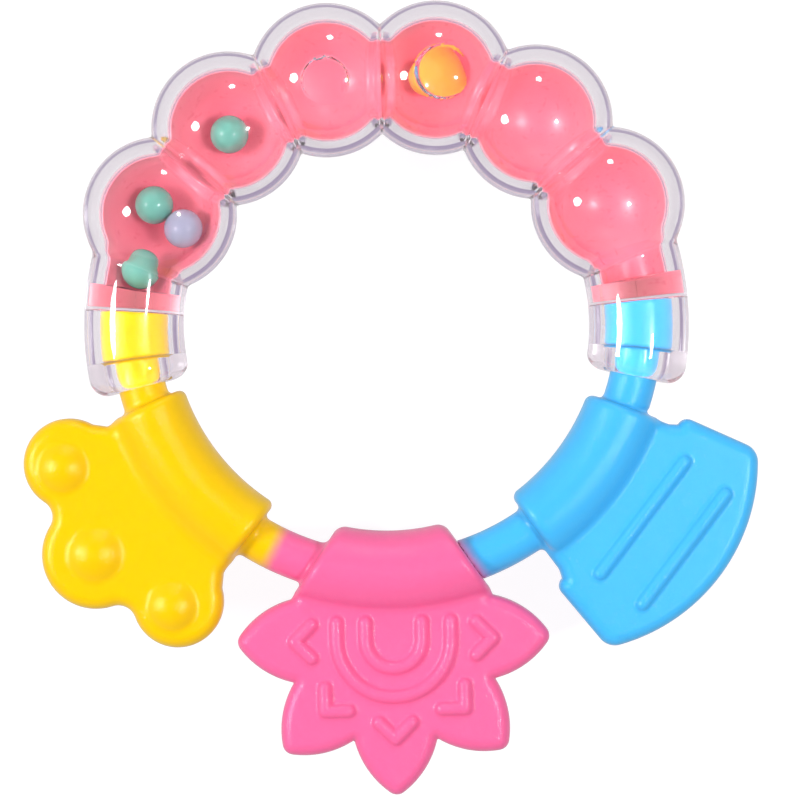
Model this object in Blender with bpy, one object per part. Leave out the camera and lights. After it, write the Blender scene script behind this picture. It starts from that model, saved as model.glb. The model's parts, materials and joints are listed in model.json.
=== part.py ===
"""Teething ring with a rattle: a clear arch of six bubbles, closed by a silicone bow with three teethers.

The toy lies on its back. +Z points up, out of its front, and +Y runs from the bow to the arch's top.
The origin is on the surface it lies on, under the middle of its bounding box.
Lengths are in metres. Angles are in degrees round the ring, from +X towards +Y.
"""

import math

import bmesh
import bpy
from mathutils import Matrix, Vector

# Arch
RING_R = 0.040  # centre line of the bubbles
BUBBLE_R = 0.0122
BUBBLE_COUNT = 6
BUBBLE_STEP = 25.0
WALL = 0.0025
PASSAGE_R = 0.0064  # the straight way from one bubble to the next
CHAMBER_R = 0.0054  # the chamber in each neck
PARTING_GAP = 0.0003  # between the front and the back half
GAP = 0.0003  # between other pieces that touch

# Sleeves: the arch's two ends, which hold the bow
SLEEVE_R = 0.0079
SLEEVE_END = -13.0
SLEEVE_CORNER = 0.0028
SLEEVE_TOP = 12.0  # the last sections before the end bubble's own
CHAMBER_TOP = 12.5
SLEEVE_MEETS_BUBBLE = 13.5
BULKHEAD_TOP = 9.4
BULKHEAD_BOTTOM = 4.4
POCKET_BOTTOM = -6.4

# Bow
BOW_LIFT = 0.0006  # the bow's circle sits this far towards the arch
ROD_R = 0.0035
PLUG_R = 0.0053
HINGE_ANGLE = -14.6  # where the necks bend, just outside the sleeves
YELLOW_PINK = 242.4  # where the rod changes colour; pink meets blue at the flower's collar
PINK_ROD_INSET = 1.6  # from the flower collar's end to the pink rod's, which lies inside it
BLUE_CLEARANCE = 0.55  # from the flower collar's end to where the blue rod starts
PLATE_HALF = 0.003
PLATE_ROUND = 0.0012
COLLAR_R = 0.0062
COLLAR_CORNER = 0.0012
RIDGE_HALF = 0.0010
RIDGE_SINK = 0.0001

# Teethers: the angle of each one's axis, half of what its collar spans, and how far the collar's
# end faces turn from the radial plane
PAW_AXIS = 217.0
PAW_SPAN = 19.1
PAW_FLARE = -6.1
FLOWER_AXIS = 270.0
FLOWER_SPAN = 18.0
FLOWER_FLARE = 16.0
FLOWER_BULGE = 0.0007
FAN_AXIS = 321.7
FAN_SPAN = 17.3
FAN_FLARE = -0.7

# Liner and balls
LINER = 0.0008
BALL_R = 0.0032
CAVITY_R = BUBBLE_R - WALL
CUP_R = CAVITY_R - GAP - LINER - GAP - BALL_R  # from a bubble's centre to a ball that lies in it
NECK_DEPTH = CHAMBER_R - GAP - LINER - GAP - BALL_R

# Balls that lie in bubbles: name, bubble counted from the right, and how far they lie from the
# bubble's middle along the ring (towards the left end) and outwards
BALLS = (
    ("mint_ball_outer", 5, -0.0010, 0.0020),
    ("lilac_ball_inner", 5, 0.0004, -0.0042),
    ("mint_ball_middle", 4, 0.0004, -0.0003),
    ("amber_ball", 2, 0.0014, 0.0004),
)
NECK_BALL_ANGLE = 165.8

# Outlines of the teethers' plates. u runs from the ring's centre along a teether's axis, and v is
# square to it. Each plate ends at PLATE_ROOT_U, inside its collar.
PLATE_ROOT_U = 0.0385

# Paw: three toe lobes with a bump on each
PAW_MIDDLE = (0.0585, 0.0)
PAW_MIDDLE_R = 0.0086
PAW_SIDE = (0.0530, 0.0139)
PAW_SIDE_R = 0.0072
PAW_SIDE_TURN = 158.0  # how far round the side lobes' edges run before they head for the collar
PAW_FILLET = 0.0028
PAW_NECK = (0.0446, 0.0148)
PAW_ROOT_V = 0.0126
PAW_BUMPS = ((0.0585, 0.0, 0.0043), (0.0540, 0.0139, 0.0038), (0.0540, -0.0139, 0.0038))
BUMP_HEIGHT = 0.0022  # half the height of a bump's whole ellipsoid
BUMP_SINK = 0.0006

# Flower: five petals round a hub
HUB_U = 0.0496
PETAL_TIP = 0.0247
PETAL_NOTCH = 0.0172
PETAL_STEP = 45.0
PETAL_TURNS = (-2, -1, 0, 1, 2)
PETAL_SIDE_R = 0.0143
PETAL_TIP_R = 0.0018
TIP_TRIM = 0.0003  # what the rounding takes off a petal's sharp tip
FLOWER_ROOT_V = 0.0112
HUB_RIDGE_RADII = (0.0090, 0.00445)
HUB_RIDGE_ARM = 0.0028
CHEVRON_APEX = 0.0156
CHEVRON_ARM = 0.0037
CHEVRON_TURN = 135.0  # from a petal's axis to each arm of its chevron

# Fan: straight sides that open outwards, round corners and a round far edge
FAN_ARC_U = 0.036
FAN_ARC_R = 0.030
FAN_CORNER_ANGLE = 39.5
FAN_EDGE_ANGLE = 30.5  # where the far edge's arc meets the rounded corners
FAN_CORNER_R = 0.003
FAN_SHOULDER = (0.0467, 0.0169)
FAN_SHOULDER_R = 0.0018
FAN_NECK = (0.0452, 0.0143)
FAN_NECK_R = 0.0008
FAN_ROOT_V = 0.0125
FAN_RIBS = ((0.0504, 0.0110), (0.0586, 0.0108))

# How finely round shapes are divided
ROUND_SIDES = 20
BOW_SIDES = 16
RIDGE_SIDES = 8
BALL_RINGS = 8
ARCH_STEP = BUBBLE_STEP / 6
BOW_STEP = 4.0
COLLAR_SHARE = 0.28  # of a collar's half span, between two sections
DOME_SHARES = (0.4, 0.7, 0.9, 0.985)  # of a rod's radius, from where its round end starts
RIDGE_END_SHARES = (0.5, 0.9)

ARCH_TOP = RING_R * math.cos(math.radians(BUBBLE_STEP / 2)) + BUBBLE_R
RING_Y = (HUB_U + PETAL_TIP - ARCH_TOP) / 2
HINGE_Y = BOW_LIFT + RING_R * math.sin(math.radians(HINGE_ANGLE))


def clear_scene():
    for obj in list(bpy.data.objects):
        bpy.data.objects.remove(obj)


def make_material(name, colour, roughness, transmission=0.0, alpha=1.0):
    material = bpy.data.materials.new(name)
    material.use_nodes = True
    shader = material.node_tree.nodes["Principled BSDF"]
    shader.inputs["Base Color"].default_value = (*colour, 1.0)
    shader.inputs["Roughness"].default_value = roughness
    shader.inputs["Metallic"].default_value = 0.0
    shader.inputs["Transmission Weight"].default_value = transmission
    shader.inputs["Alpha"].default_value = alpha
    material.diffuse_color = (*colour, alpha)
    return material


def make_empty(name, location, parent=None):
    empty = bpy.data.objects.new(name, None)
    empty.empty_display_size = 0.005
    empty.location = location
    empty.parent = parent
    bpy.context.scene.collection.objects.link(empty)
    return empty


def make_object(name, bm, parent, material=None, location=(0, 0, 0)):
    """Turns bm into an object. Without a material it's a helper, which isn't rendered."""
    bmesh.ops.recalc_face_normals(bm, faces=bm.faces)
    mesh = bpy.data.meshes.new(name)
    bm.to_mesh(mesh)
    bm.free()
    mesh.shade_smooth()
    mesh.set_sharp_from_angle(angle=math.radians(35))
    obj = bpy.data.objects.new(name, mesh)
    obj.location = location
    obj.parent = parent
    if material:
        mesh.materials.append(material)
    else:
        obj.hide_render = True
        obj.display_type = "WIRE"
    bpy.context.scene.collection.objects.link(obj)
    return obj


def add_boolean(obj, operation, others):
    """One Boolean with all the others, which a collection of their own holds."""
    group = bpy.data.collections.new(f"{obj.name}_{operation.lower()}")
    for other in others:
        group.objects.link(other)
    modifier = obj.modifiers.new(operation.title(), "BOOLEAN")
    modifier.operation = operation
    modifier.operand_type = "COLLECTION"
    modifier.collection = group
    modifier.solver = "EXACT"


def loft(bm, sections):
    """A closed solid through rings of points, with a flat cap on each end."""
    rings = [[bm.verts.new(point) for point in section] for section in sections]
    count = len(rings[0])
    for ring, following in zip(rings, rings[1:]):
        for k in range(count):
            after = (k + 1) % count
            bm.faces.new((ring[k], ring[after], following[after], following[k]))
    bm.faces.new(rings[0])
    bm.faces.new(rings[-1])
    return bm


def direction(angle):
    return Vector((math.cos(math.radians(angle)), math.sin(math.radians(angle)), 0))


def spaced(start, end, step):
    """Even values from start to end, no further apart than step."""
    count = max(1, math.ceil(abs(end - start) / step - 1e-6))
    return [start + (end - start) * k / count for k in range(count + 1)]


# Arch


def bubble_angles():
    first = 90 - BUBBLE_STEP * (BUBBLE_COUNT - 1) / 2
    return [first + BUBBLE_STEP * k for k in range(BUBBLE_COUNT)]


def bubble_centre(index):
    return RING_R * direction(bubble_angles()[index])


def bubble_reach(angle, phi, radius):
    """How far a sphere of this radius round the nearest bubble's centre reaches from the ring line.

    It's measured in the radial plane at angle, in the direction phi from outwards towards +Z.
    """
    away = math.radians(min(abs(angle - centre) for centre in bubble_angles()))
    inwards = RING_R * (1 - math.cos(away))
    inside = radius**2 - (RING_R * math.sin(away)) ** 2 - (inwards * math.sin(phi)) ** 2
    return -inwards * math.cos(phi) + math.sqrt(inside) if inside > 0 else 0


def past_end_bubble(angle):
    return angle < bubble_angles()[0] or angle > bubble_angles()[-1]


def sleeve_radius(angle):
    """The sleeve's outer radius, with its mouth's edge rounded."""
    to_end = min(angle - SLEEVE_END, 180 - SLEEVE_END - angle)
    s = min(SLEEVE_CORNER, max(0.0, RING_R * math.radians(to_end)))
    return SLEEVE_R - SLEEVE_CORNER + math.sqrt(s * (2 * SLEEVE_CORNER - s))


def outer_reach(angle, phi):
    sleeve = sleeve_radius(angle) if past_end_bubble(angle) else 0
    return max(bubble_reach(angle, phi, BUBBLE_R), sleeve)


def passage_reach(angle, phi, radius):
    """How far the straight tube between two neighbouring bubbles reaches from the ring line."""
    half = BUBBLE_STEP / 2
    away = math.radians((angle - bubble_angles()[0]) % BUBBLE_STEP - half)
    inwards = RING_R * (1 - math.cos(math.radians(half)) / math.cos(away))
    return math.sqrt(radius**2 - (inwards * math.sin(phi)) ** 2) - inwards * math.cos(phi)


def cavity_reach(angle, phi, inset=0.0):
    if past_end_bubble(angle):
        way = CHAMBER_R - inset
    else:
        way = passage_reach(angle, phi, PASSAGE_R - inset)
    return max(bubble_reach(angle, phi, CAVITY_R - inset), way)


def round_section(angle, reach, phis):
    """Points round the ring line in one radial plane."""
    points = []
    for phi in phis:
        r = reach(angle, phi)
        point = (RING_R + r * math.cos(phi)) * direction(angle)
        point.z = r * math.sin(phi)
        points.append(point)
    return points


def full_circle():
    return [2 * math.pi * k / ROUND_SIDES for k in range(ROUND_SIDES)]


def both_sides(right):
    """Angles from the right sleeve up to the top, and the same ones mirrored down to the left."""
    return right + [180 - angle for angle in reversed(right[:-1])]


def bubble_stations():
    first = bubble_angles()[0] - BUBBLE_STEP / 2
    return spaced(first, 90, ARCH_STEP)


def outer_stations():
    corner_span = math.degrees(SLEEVE_CORNER / RING_R)
    corner = [SLEEVE_END + corner_span * (1 - math.cos(math.radians(t))) for t in (0, 40, 65)]
    sleeve = spaced(SLEEVE_END + corner_span, SLEEVE_TOP, BOW_STEP)
    return both_sides(corner + sleeve + [SLEEVE_MEETS_BUBBLE] + bubble_stations())


def cavity_stations(inset=0.0):
    start = BULKHEAD_TOP + math.degrees(inset / RING_R)
    return both_sides([start, CHAMBER_TOP] + bubble_stations())


def arch_half(side):
    """One half of the arch's outer shape, solid. side is 1 for the front and -1 for the back."""
    phis = full_circle()
    bm = loft(bmesh.new(), [round_section(a, outer_reach, phis) for a in outer_stations()])
    cut = bmesh.ops.bisect_plane(
        bm,
        geom=bm.verts[:] + bm.edges[:] + bm.faces[:],
        dist=1e-7,
        plane_co=(0, 0, side * PARTING_GAP / 2),
        plane_no=(0, 0, side),
        clear_inner=True,
    )
    edges = [item for item in cut["geom_cut"] if isinstance(item, bmesh.types.BMEdge)]
    bmesh.ops.holes_fill(bm, edges=edges)
    return bm


def cavity_cutter():
    phis = full_circle()
    return loft(bmesh.new(), [round_section(a, cavity_reach, phis) for a in cavity_stations()])


def stepped_rod(steps, mirrored):
    """A round rod along the ring line. steps is a list of (angle, radius), from its top end down."""
    sections = []
    for angle, radius in steps:
        if mirrored:
            angle = 180 - angle
        sections.append(round_section(angle, lambda a, phi, r=radius: r, full_circle()))
    return loft(bmesh.new(), sections)


def pocket_cutter(mirrored):
    """The plug's pocket and the hole that its neck leaves by, past the sleeve's end."""
    pocket = [(a, PLUG_R + GAP) for a in spaced(BULKHEAD_BOTTOM, POCKET_BOTTOM, BOW_STEP)]
    hole = [(a, ROD_R + GAP) for a in spaced(POCKET_BOTTOM, SLEEVE_END - BOW_STEP, BOW_STEP)]
    return stepped_rod(pocket + hole, mirrored)


def plug(mirrored):
    """A bow's end: the wide plug in the pocket, and the neck up to where it bends."""
    shift = math.degrees(GAP / RING_R)
    neck_end = HINGE_ANGLE + math.degrees((ROD_R + GAP + BOW_LIFT) / RING_R)
    wide = [(a, PLUG_R) for a in spaced(BULKHEAD_BOTTOM - shift, POCKET_BOTTOM + shift, BOW_STEP)]
    neck = [(a, ROD_R) for a in spaced(POCKET_BOTTOM + shift, neck_end, BOW_STEP)]
    return stepped_rod(wide + neck, mirrored)


def liner():
    """The coloured half shell that lies in the back of the cavity, from bulkhead to bulkhead."""
    half = ROUND_SIDES // 2
    lower = [math.pi + math.pi * k / half for k in range(half + 1)]
    sections = []
    for angle in cavity_stations(GAP):
        outside = round_section(angle, lambda a, phi: cavity_reach(a, phi, GAP), lower)
        inside = round_section(angle, lambda a, phi: cavity_reach(a, phi, GAP + LINER), lower)
        sections.append(outside + inside[::-1])
    return loft(bmesh.new(), sections)


def ball():
    bm = bmesh.new()
    bmesh.ops.create_uvsphere(bm, u_segments=14, v_segments=BALL_RINGS, radius=BALL_R)
    return bm


def ball_place(bubble, along, outwards):
    """Where a ball that lies in a bubble's cup is, from the bubble's centre."""
    angle = bubble_angles()[bubble]
    place = outwards * direction(angle) + along * direction(angle + 90)
    place.z = -math.sqrt(CUP_R**2 - along**2 - outwards**2)
    return place


# Bow


def bow_point(angle):
    return Vector((0, BOW_LIFT, 0)) + RING_R * direction(angle)


def disc_section(centre, outwards, radius, height, sides=BOW_SIDES):
    """A round section that stands on the ring plane, with outwards as its direction in that plane."""
    points = []
    for k in range(sides):
        phi = 2 * math.pi * k / sides
        up = Vector((0, 0, height * math.sin(phi)))
        points.append(centre + radius * math.cos(phi) * outwards + up)
    return points


def rod(start, end, domed="", lean=0.0):
    """The thin silicone rod from one angle to the other.

    domed names the end that is round. lean turns the start's face from the radial plane.
    """
    turn = math.copysign(1, end - start)
    stations = [(angle, ROD_R, ROD_R) for angle in spaced(start, end, BOW_STEP)]
    dome = []
    for t in DOME_SHARES:
        size = ROD_R * math.sqrt(1 - t**2)
        dome.append((t * math.degrees(ROD_R / RING_R), size))
    if domed == "start":
        stations = [(start - turn * span, size, size) for span, size in reversed(dome)] + stations
    if domed == "end":
        stations += [(end + turn * span, size, size) for span, size in dome]
    if lean:
        stations[0] = (start, ROD_R / math.cos(math.radians(lean)), ROD_R)
    sections = []
    for k, (angle, radius, height) in enumerate(stations):
        outwards = direction(angle + (lean if k == 0 else 0))
        sections.append(disc_section(bow_point(angle), outwards, radius, height))
    return loft(bmesh.new(), sections)


def collar(axis, half_span, flare, bulge=0.0):
    """The thick sleeve of a teether round the rod. Its end faces turn by flare from the radial plane.

    bulge is how much further than its usual radius it reaches towards the ring's centre.
    """
    corner = COLLAR_CORNER / (RING_R * math.radians(half_span))
    rim = [(1 - corner * (1 - math.sin(t)), COLLAR_R - COLLAR_CORNER * (1 - math.cos(t)))
           for t in (math.pi / 2, math.pi / 4)]
    stations = [(-place, radius) for place, radius in rim]
    stations += [(place, COLLAR_R) for place in spaced(corner - 1, 1 - corner, COLLAR_SHARE)]
    stations += reversed(rim)
    sections = []
    for place, radius in stations:
        angle = axis + place * half_span
        centre = bow_point(angle) - bulge / 2 * direction(angle)
        outwards = direction(axis + place * (half_span + flare))
        size = radius + bulge / 2
        sections.append(disc_section(centre, outwards, size, size))
    return loft(bmesh.new(), sections)


def turned(points, axis):
    """Points (u, v), with u along a teether's axis and v square to it, as points on the ring plane."""
    along = direction(axis)
    across = direction(axis + 90)
    return [u * along + v * across for u, v in points]


def arc(centre, radius, start, end, steps):
    """Points (u, v) on an arc."""
    points = []
    for angle in [start + (end - start) * k / steps for k in range(steps + 1)]:
        turn = direction(angle)
        points.append((centre[0] + radius * turn.x, centre[1] + radius * turn.y))
    return points


def rounded(corners, steps=3):
    """A path through corners (u, v, radius), with each corner rounded by its radius."""
    points = []
    count = len(corners)
    for k, (u, v, radius) in enumerate(corners):
        here = Vector((u, v))
        before = (Vector(corners[k - 1][:2]) - here).normalized()
        after = (Vector(corners[(k + 1) % count][:2]) - here).normalized()
        half = before.angle(after) / 2
        if radius == 0 or half > math.radians(88):
            points.append((u, v))
            continue
        centre = here + (before + after).normalized() * radius / math.sin(half)
        first = here + before * radius / math.tan(half) - centre
        sweep = math.copysign(math.pi - 2 * half, before.cross(after))
        for s in range(steps + 1):
            spoke = first.copy()
            spoke.rotate(Matrix.Rotation(-sweep * s / steps, 2))
            points.append((centre.x + spoke.x, centre.y + spoke.y))
    return points


def plate(outline, axis):
    """A flat plate with rounded rims, from its outline as points (u, v)."""
    count = len(outline)
    inwards = []
    for k in range(count):
        edge = Vector(outline[(k + 1) % count]) - Vector(outline[k - 1])
        inwards.append(Vector((-edge.y, edge.x)).normalized())
    sections = []
    rim = [(math.sin(t), 1 - math.cos(t)) for t in (math.pi / 2, math.pi / 4, 0)]
    levels = [(-PLATE_HALF + PLATE_ROUND * (1 - rise), PLATE_ROUND * inset) for rise, inset in rim]
    levels += [(-height, inset) for height, inset in reversed(levels)]
    for height, inset in levels:
        moved = [(u + inset * n.x, v + inset * n.y) for (u, v), n in zip(outline, inwards)]
        sections.append([point + Vector((0, 0, height)) for point in turned(moved, axis)])
    return loft(bmesh.new(), sections)


def ridge_end(point, away, side):
    """The sections of a ridge's round end, from its path's last point outwards."""
    sections = []
    for t in RIDGE_END_SHARES:
        size = RIDGE_HALF * math.sqrt(1 - t**2)
        sections.append(disc_section(point + t * RIDGE_HALF * away, side, size, size, RIDGE_SIDES))
    return sections


def ridge(path, axis):
    """A round-topped ridge on a plate's front along a path of points (u, v)."""
    level = Vector((0, 0, PLATE_HALF - RIDGE_SINK))
    points = [point + level for point in turned(path, axis)]
    legs = [(after - point).normalized() for point, after in zip(points, points[1:])]
    sections = []
    for point, before, after in zip(points, legs[:1] + legs, legs + legs[-1:]):
        along = (before + after).normalized()
        side = Vector((-along.y, along.x, 0))
        width = RIDGE_HALF / along.dot(before)
        sections.append(disc_section(point, side, width, RIDGE_HALF, RIDGE_SIDES))
    first = Vector((-legs[0].y, legs[0].x, 0))
    last = Vector((-legs[-1].y, legs[-1].x, 0))
    start = ridge_end(points[0], -legs[0], first)[::-1]
    return loft(bmesh.new(), start + sections + ridge_end(points[-1], legs[-1], last))


def paw_outline():
    middle = Vector(PAW_MIDDLE)
    side = Vector(PAW_SIDE)
    to_side = side - middle
    long = PAW_MIDDLE_R + PAW_FILLET
    short = PAW_SIDE_R + PAW_FILLET
    spread = math.acos((long**2 + to_side.length**2 - short**2) / (2 * long * to_side.length))
    heading = math.atan2(to_side.y, to_side.x) - spread
    fillet = middle + long * Vector((math.cos(heading), math.sin(heading)))
    to_middle = math.degrees(math.atan2(middle.y - fillet.y, middle.x - fillet.x)) % 360
    to_lobe = math.degrees(math.atan2(side.y - fillet.y, side.x - fillet.x)) % 360
    half = arc(PAW_MIDDLE, PAW_MIDDLE_R, 0, to_middle - 180, 5)
    half += arc(fillet, PAW_FILLET, to_middle, to_lobe, 3)[1:-1]
    half += arc(PAW_SIDE, PAW_SIDE_R, to_lobe - 180, PAW_SIDE_TURN, 9)
    half += [PAW_NECK, (PLATE_ROOT_U, PAW_ROOT_V)]
    return [(u, -v) for u, v in reversed(half[1:])] + half


def flower_outline():
    """Pointed petals with bulging sides, round the hub."""
    notch = PETAL_NOTCH * direction(PETAL_STEP / 2)
    tip = Vector((PETAL_TIP + TIP_TRIM, 0, 0))
    chord = tip - notch
    inwards = Vector((chord.y, -chord.x, 0)).normalized()
    back = math.sqrt(PETAL_SIDE_R**2 - (chord.length / 2) ** 2)
    side = (notch + tip) / 2 + back * inwards
    tip_u = side.x + math.sqrt((PETAL_SIDE_R - PETAL_TIP_R) ** 2 - side.y**2)
    touch = math.degrees(math.atan2(-side.y, tip_u - side.x))
    start = math.degrees(math.atan2(notch.y - side.y, notch.x - side.x))
    half = arc((tip_u, 0), PETAL_TIP_R, 0, touch, 2)
    half += arc((side.x, side.y), PETAL_SIDE_R, touch, start, 4)[1:]
    petal = [(u, -v) for u, v in reversed(half[1:])] + half
    points = []
    for turn in PETAL_TURNS:
        for point in turned(petal[1:], turn * PETAL_STEP):
            points.append((HUB_U + point.x, point.y))
    return [(PLATE_ROOT_U, FLOWER_ROOT_V), (PLATE_ROOT_U, -FLOWER_ROOT_V)] + points


def fan_outline():
    """A wide fan: straight sides that open outwards, and a round far edge."""
    edge = arc((FAN_ARC_U, 0), FAN_ARC_R, -FAN_EDGE_ANGLE, FAN_EDGE_ANGLE, 7)
    heading = FAN_ARC_R * direction(FAN_CORNER_ANGLE)
    upper = [(FAN_ARC_U + heading.x, heading.y, FAN_CORNER_R), (*FAN_SHOULDER, FAN_SHOULDER_R)]
    upper += [(*FAN_NECK, FAN_NECK_R), (PLATE_ROOT_U, FAN_ROOT_V, 0)]
    lower = [(u, -v, r) for u, v, r in reversed(upper)]
    return rounded(lower + [(u, v, 0) for u, v in edge] + upper)


def bump(u, v, radius, axis):
    """A low round dome on a plate's front."""
    bm = bmesh.new()
    bmesh.ops.create_uvsphere(bm, u_segments=14, v_segments=BALL_RINGS, radius=1)
    centre = turned([(u, v)], axis)[0] + Vector((0, 0, PLATE_HALF - BUMP_SINK))
    size = Matrix.Diagonal((radius, radius, BUMP_HEIGHT, 1))
    bmesh.ops.transform(bm, matrix=Matrix.Translation(centre) @ size, verts=bm.verts)
    return bm


def flower_ridges():
    """Two U shapes round the hub, and a chevron on each petal, as paths of points (u, v)."""
    paths = []
    arm_u = HUB_U - HUB_RIDGE_ARM
    for radius in HUB_RIDGE_RADII:
        bend = arc((HUB_U, 0), radius, -90, 90, 8)
        paths.append([(arm_u, -radius)] + bend + [(arm_u, radius)])
    for turn in PETAL_TURNS:
        heading = turn * PETAL_STEP
        apex = CHEVRON_APEX * direction(heading)
        left = apex + CHEVRON_ARM * direction(heading - CHEVRON_TURN)
        right = apex + CHEVRON_ARM * direction(heading + CHEVRON_TURN)
        paths.append([(HUB_U + point.x, point.y) for point in (left, apex, right)])
    return paths


def teether(name, body, helpers, parent, material):
    """Joins a teether's rod, collar and raised features to its plate."""
    shift = (0, -HINGE_Y, 0)
    obj = make_object(name, body, parent, material, shift)
    parts = [make_object(f"{name}_{label}", bm, parent, None, shift) for label, bm in helpers]
    add_boolean(obj, "UNION", parts)
    return obj


def main():
    clear_scene()
    clear = make_material("clear_plastic", (0.93, 0.90, 0.94), 0.05, 0.9, 0.35)
    salmon = make_material("pink_liner", (1.0, 0.24, 0.33), 0.35)
    mint = make_material("mint_bead", (0.22, 0.62, 0.50), 0.25)
    lilac = make_material("lilac_bead", (0.48, 0.45, 0.68), 0.25)
    amber = make_material("amber_bead", (0.85, 0.50, 0.08), 0.25)
    yellow = make_material("yellow_silicone", (1.0, 0.66, 0.0), 0.4)
    pink = make_material("pink_silicone", (1.0, 0.14, 0.38), 0.4)
    blue = make_material("blue_silicone", (0.08, 0.55, 1.0), 0.4)

    centre = make_empty("ring_centre", (0, RING_Y, BUBBLE_R))
    hinge = make_empty("bow_hinge", (0, HINGE_Y, 0), centre)

    # Two clear halves, cut by the same hollows
    cutters = [make_object("cavity_cutter", cavity_cutter(), centre)]
    cutters += [make_object(f"pocket_cutter_{k}", pocket_cutter(k == 1), centre) for k in (0, 1)]
    for name, side in (("clear_shell_front", 1), ("clear_shell_back", -1)):
        half = make_object(name, arch_half(side), centre, clear)
        add_boolean(half, "DIFFERENCE", cutters)
    make_object("pink_liner", liner(), centre, salmon)

    make_object("blue_plug", plug(False), centre, blue)
    make_object("yellow_plug", plug(True), centre, yellow)

    # Balls, each under an empty on the axis that it rolls about
    colours = {"mint": mint, "lilac": lilac, "amber": amber}
    for name, bubble, along, outwards in BALLS:
        pivot = make_empty(f"{name}_pivot", bubble_centre(bubble), centre)
        colour = colours[name.split("_")[0]]
        make_object(name, ball(), pivot, colour, ball_place(bubble, along, outwards))
    pivot = make_empty("mint_ball_neck_pivot", (0, 0, 0), centre)
    neck_place = RING_R * direction(NECK_BALL_ANGLE) - Vector((0, 0, NECK_DEPTH))
    make_object("mint_ball_neck", ball(), pivot, mint, neck_place)

    # Bow
    half_gap = math.degrees(GAP / RING_R) / 2
    flower_end = FLOWER_AXIS + FLOWER_SPAN
    parts = [("rod", rod(180 - HINGE_ANGLE, YELLOW_PINK - half_gap, "start"))]
    parts += [("collar", collar(PAW_AXIS, PAW_SPAN, PAW_FLARE))]
    parts += [(f"bump_{k}", bump(*spot, PAW_AXIS)) for k, spot in enumerate(PAW_BUMPS)]
    teether("yellow_paw_teether", plate(paw_outline(), PAW_AXIS), parts, hinge, yellow)

    parts = [("rod", rod(YELLOW_PINK + half_gap, flower_end - PINK_ROD_INSET))]
    parts += [("collar", collar(FLOWER_AXIS, FLOWER_SPAN, FLOWER_FLARE, FLOWER_BULGE))]
    parts += [(f"ridge_{k}", ridge(path, FLOWER_AXIS)) for k, path in enumerate(flower_ridges())]
    teether("pink_flower_teether", plate(flower_outline(), FLOWER_AXIS), parts, hinge, pink)

    parts = [("rod", rod(flower_end + BLUE_CLEARANCE, 360 + HINGE_ANGLE, "end", FLOWER_FLARE))]
    parts += [("collar", collar(FAN_AXIS, FAN_SPAN, FAN_FLARE))]
    parts += [(f"rib_{k}", ridge([(u, -v), (u, v)], FAN_AXIS)) for k, (u, v) in enumerate(FAN_RIBS)]
    teether("blue_fan_teether", plate(fan_outline(), FAN_AXIS), parts, hinge, blue)


main()
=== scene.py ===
import json
import math

import bmesh
import bpy
import numpy as np
from mathutils import Matrix, Vector


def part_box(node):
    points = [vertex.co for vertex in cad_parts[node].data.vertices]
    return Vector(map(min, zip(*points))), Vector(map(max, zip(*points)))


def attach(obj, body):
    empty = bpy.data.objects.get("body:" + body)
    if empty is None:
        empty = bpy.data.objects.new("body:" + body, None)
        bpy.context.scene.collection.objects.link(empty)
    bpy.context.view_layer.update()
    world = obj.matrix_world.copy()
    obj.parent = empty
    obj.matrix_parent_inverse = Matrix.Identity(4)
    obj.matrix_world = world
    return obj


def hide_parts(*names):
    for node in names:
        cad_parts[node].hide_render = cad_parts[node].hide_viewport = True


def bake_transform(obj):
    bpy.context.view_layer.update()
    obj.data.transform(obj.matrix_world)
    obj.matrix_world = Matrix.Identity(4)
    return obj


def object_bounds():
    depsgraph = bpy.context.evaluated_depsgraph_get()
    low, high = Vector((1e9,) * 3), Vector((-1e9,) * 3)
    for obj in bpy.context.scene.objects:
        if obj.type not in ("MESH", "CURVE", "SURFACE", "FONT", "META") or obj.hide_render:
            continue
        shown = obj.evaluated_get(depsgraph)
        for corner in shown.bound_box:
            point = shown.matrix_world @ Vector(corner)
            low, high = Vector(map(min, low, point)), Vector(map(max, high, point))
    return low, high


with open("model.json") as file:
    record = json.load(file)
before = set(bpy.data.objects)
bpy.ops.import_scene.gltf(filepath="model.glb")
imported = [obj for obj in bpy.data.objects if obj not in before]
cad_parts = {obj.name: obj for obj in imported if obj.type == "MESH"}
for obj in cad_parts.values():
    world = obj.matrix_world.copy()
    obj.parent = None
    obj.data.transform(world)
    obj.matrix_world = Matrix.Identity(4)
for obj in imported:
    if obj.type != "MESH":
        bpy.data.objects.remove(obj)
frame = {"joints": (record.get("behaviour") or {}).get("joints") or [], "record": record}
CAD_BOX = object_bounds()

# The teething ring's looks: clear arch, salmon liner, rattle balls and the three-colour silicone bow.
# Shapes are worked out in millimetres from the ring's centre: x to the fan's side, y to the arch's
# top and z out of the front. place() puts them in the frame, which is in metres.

MM = 0.001
JOINTS = {joint["name"]: joint for joint in frame["joints"]}
RING_CENTRE = Vector(JOINTS["roll_neck"]["pos_m"])

# Arch
RING_R = 40.0
BUBBLE_R = 12.2
BUBBLE_COUNT = 6
BUBBLE_STEP = 25.0
WALL = 2.5
PASSAGE_R = 6.4  # from one bubble's cavity to the next
CHAMBER_R = 5.4  # in each neck, above its bulkhead
CAVITY_R = BUBBLE_R - WALL
SEAM = 0.012  # half of the hairline between the front and the back half
FIT = 0.03  # between pieces that touch
SLEEVE_R = 7.9
SLEEVE_CORNER = 2.8
POCKET_CORNER = 0.3
MOUTH_FLARE = 0.35
# Angles on the ring, in degrees above its middle line
BULKHEAD_TOP = 9.4
LINER_FOOT = 5.0  # where the liner's closed ends stop, inside the back half's bulkheads
BULKHEAD_BOTTOM = 4.4
POCKET_BOTTOM = -6.4
MOUTH_EDGE = 0.5  # length of the mouth's rounded edge
SLEEVE_END = -13.0
# How softly the arch's shapes run into each other
OUTSIDE_BLEND = 0.5
BUBBLE_BLEND = 0.8
PASSAGE_BLEND = 0.6
CHAMBER_BLEND = 2.0
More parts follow.
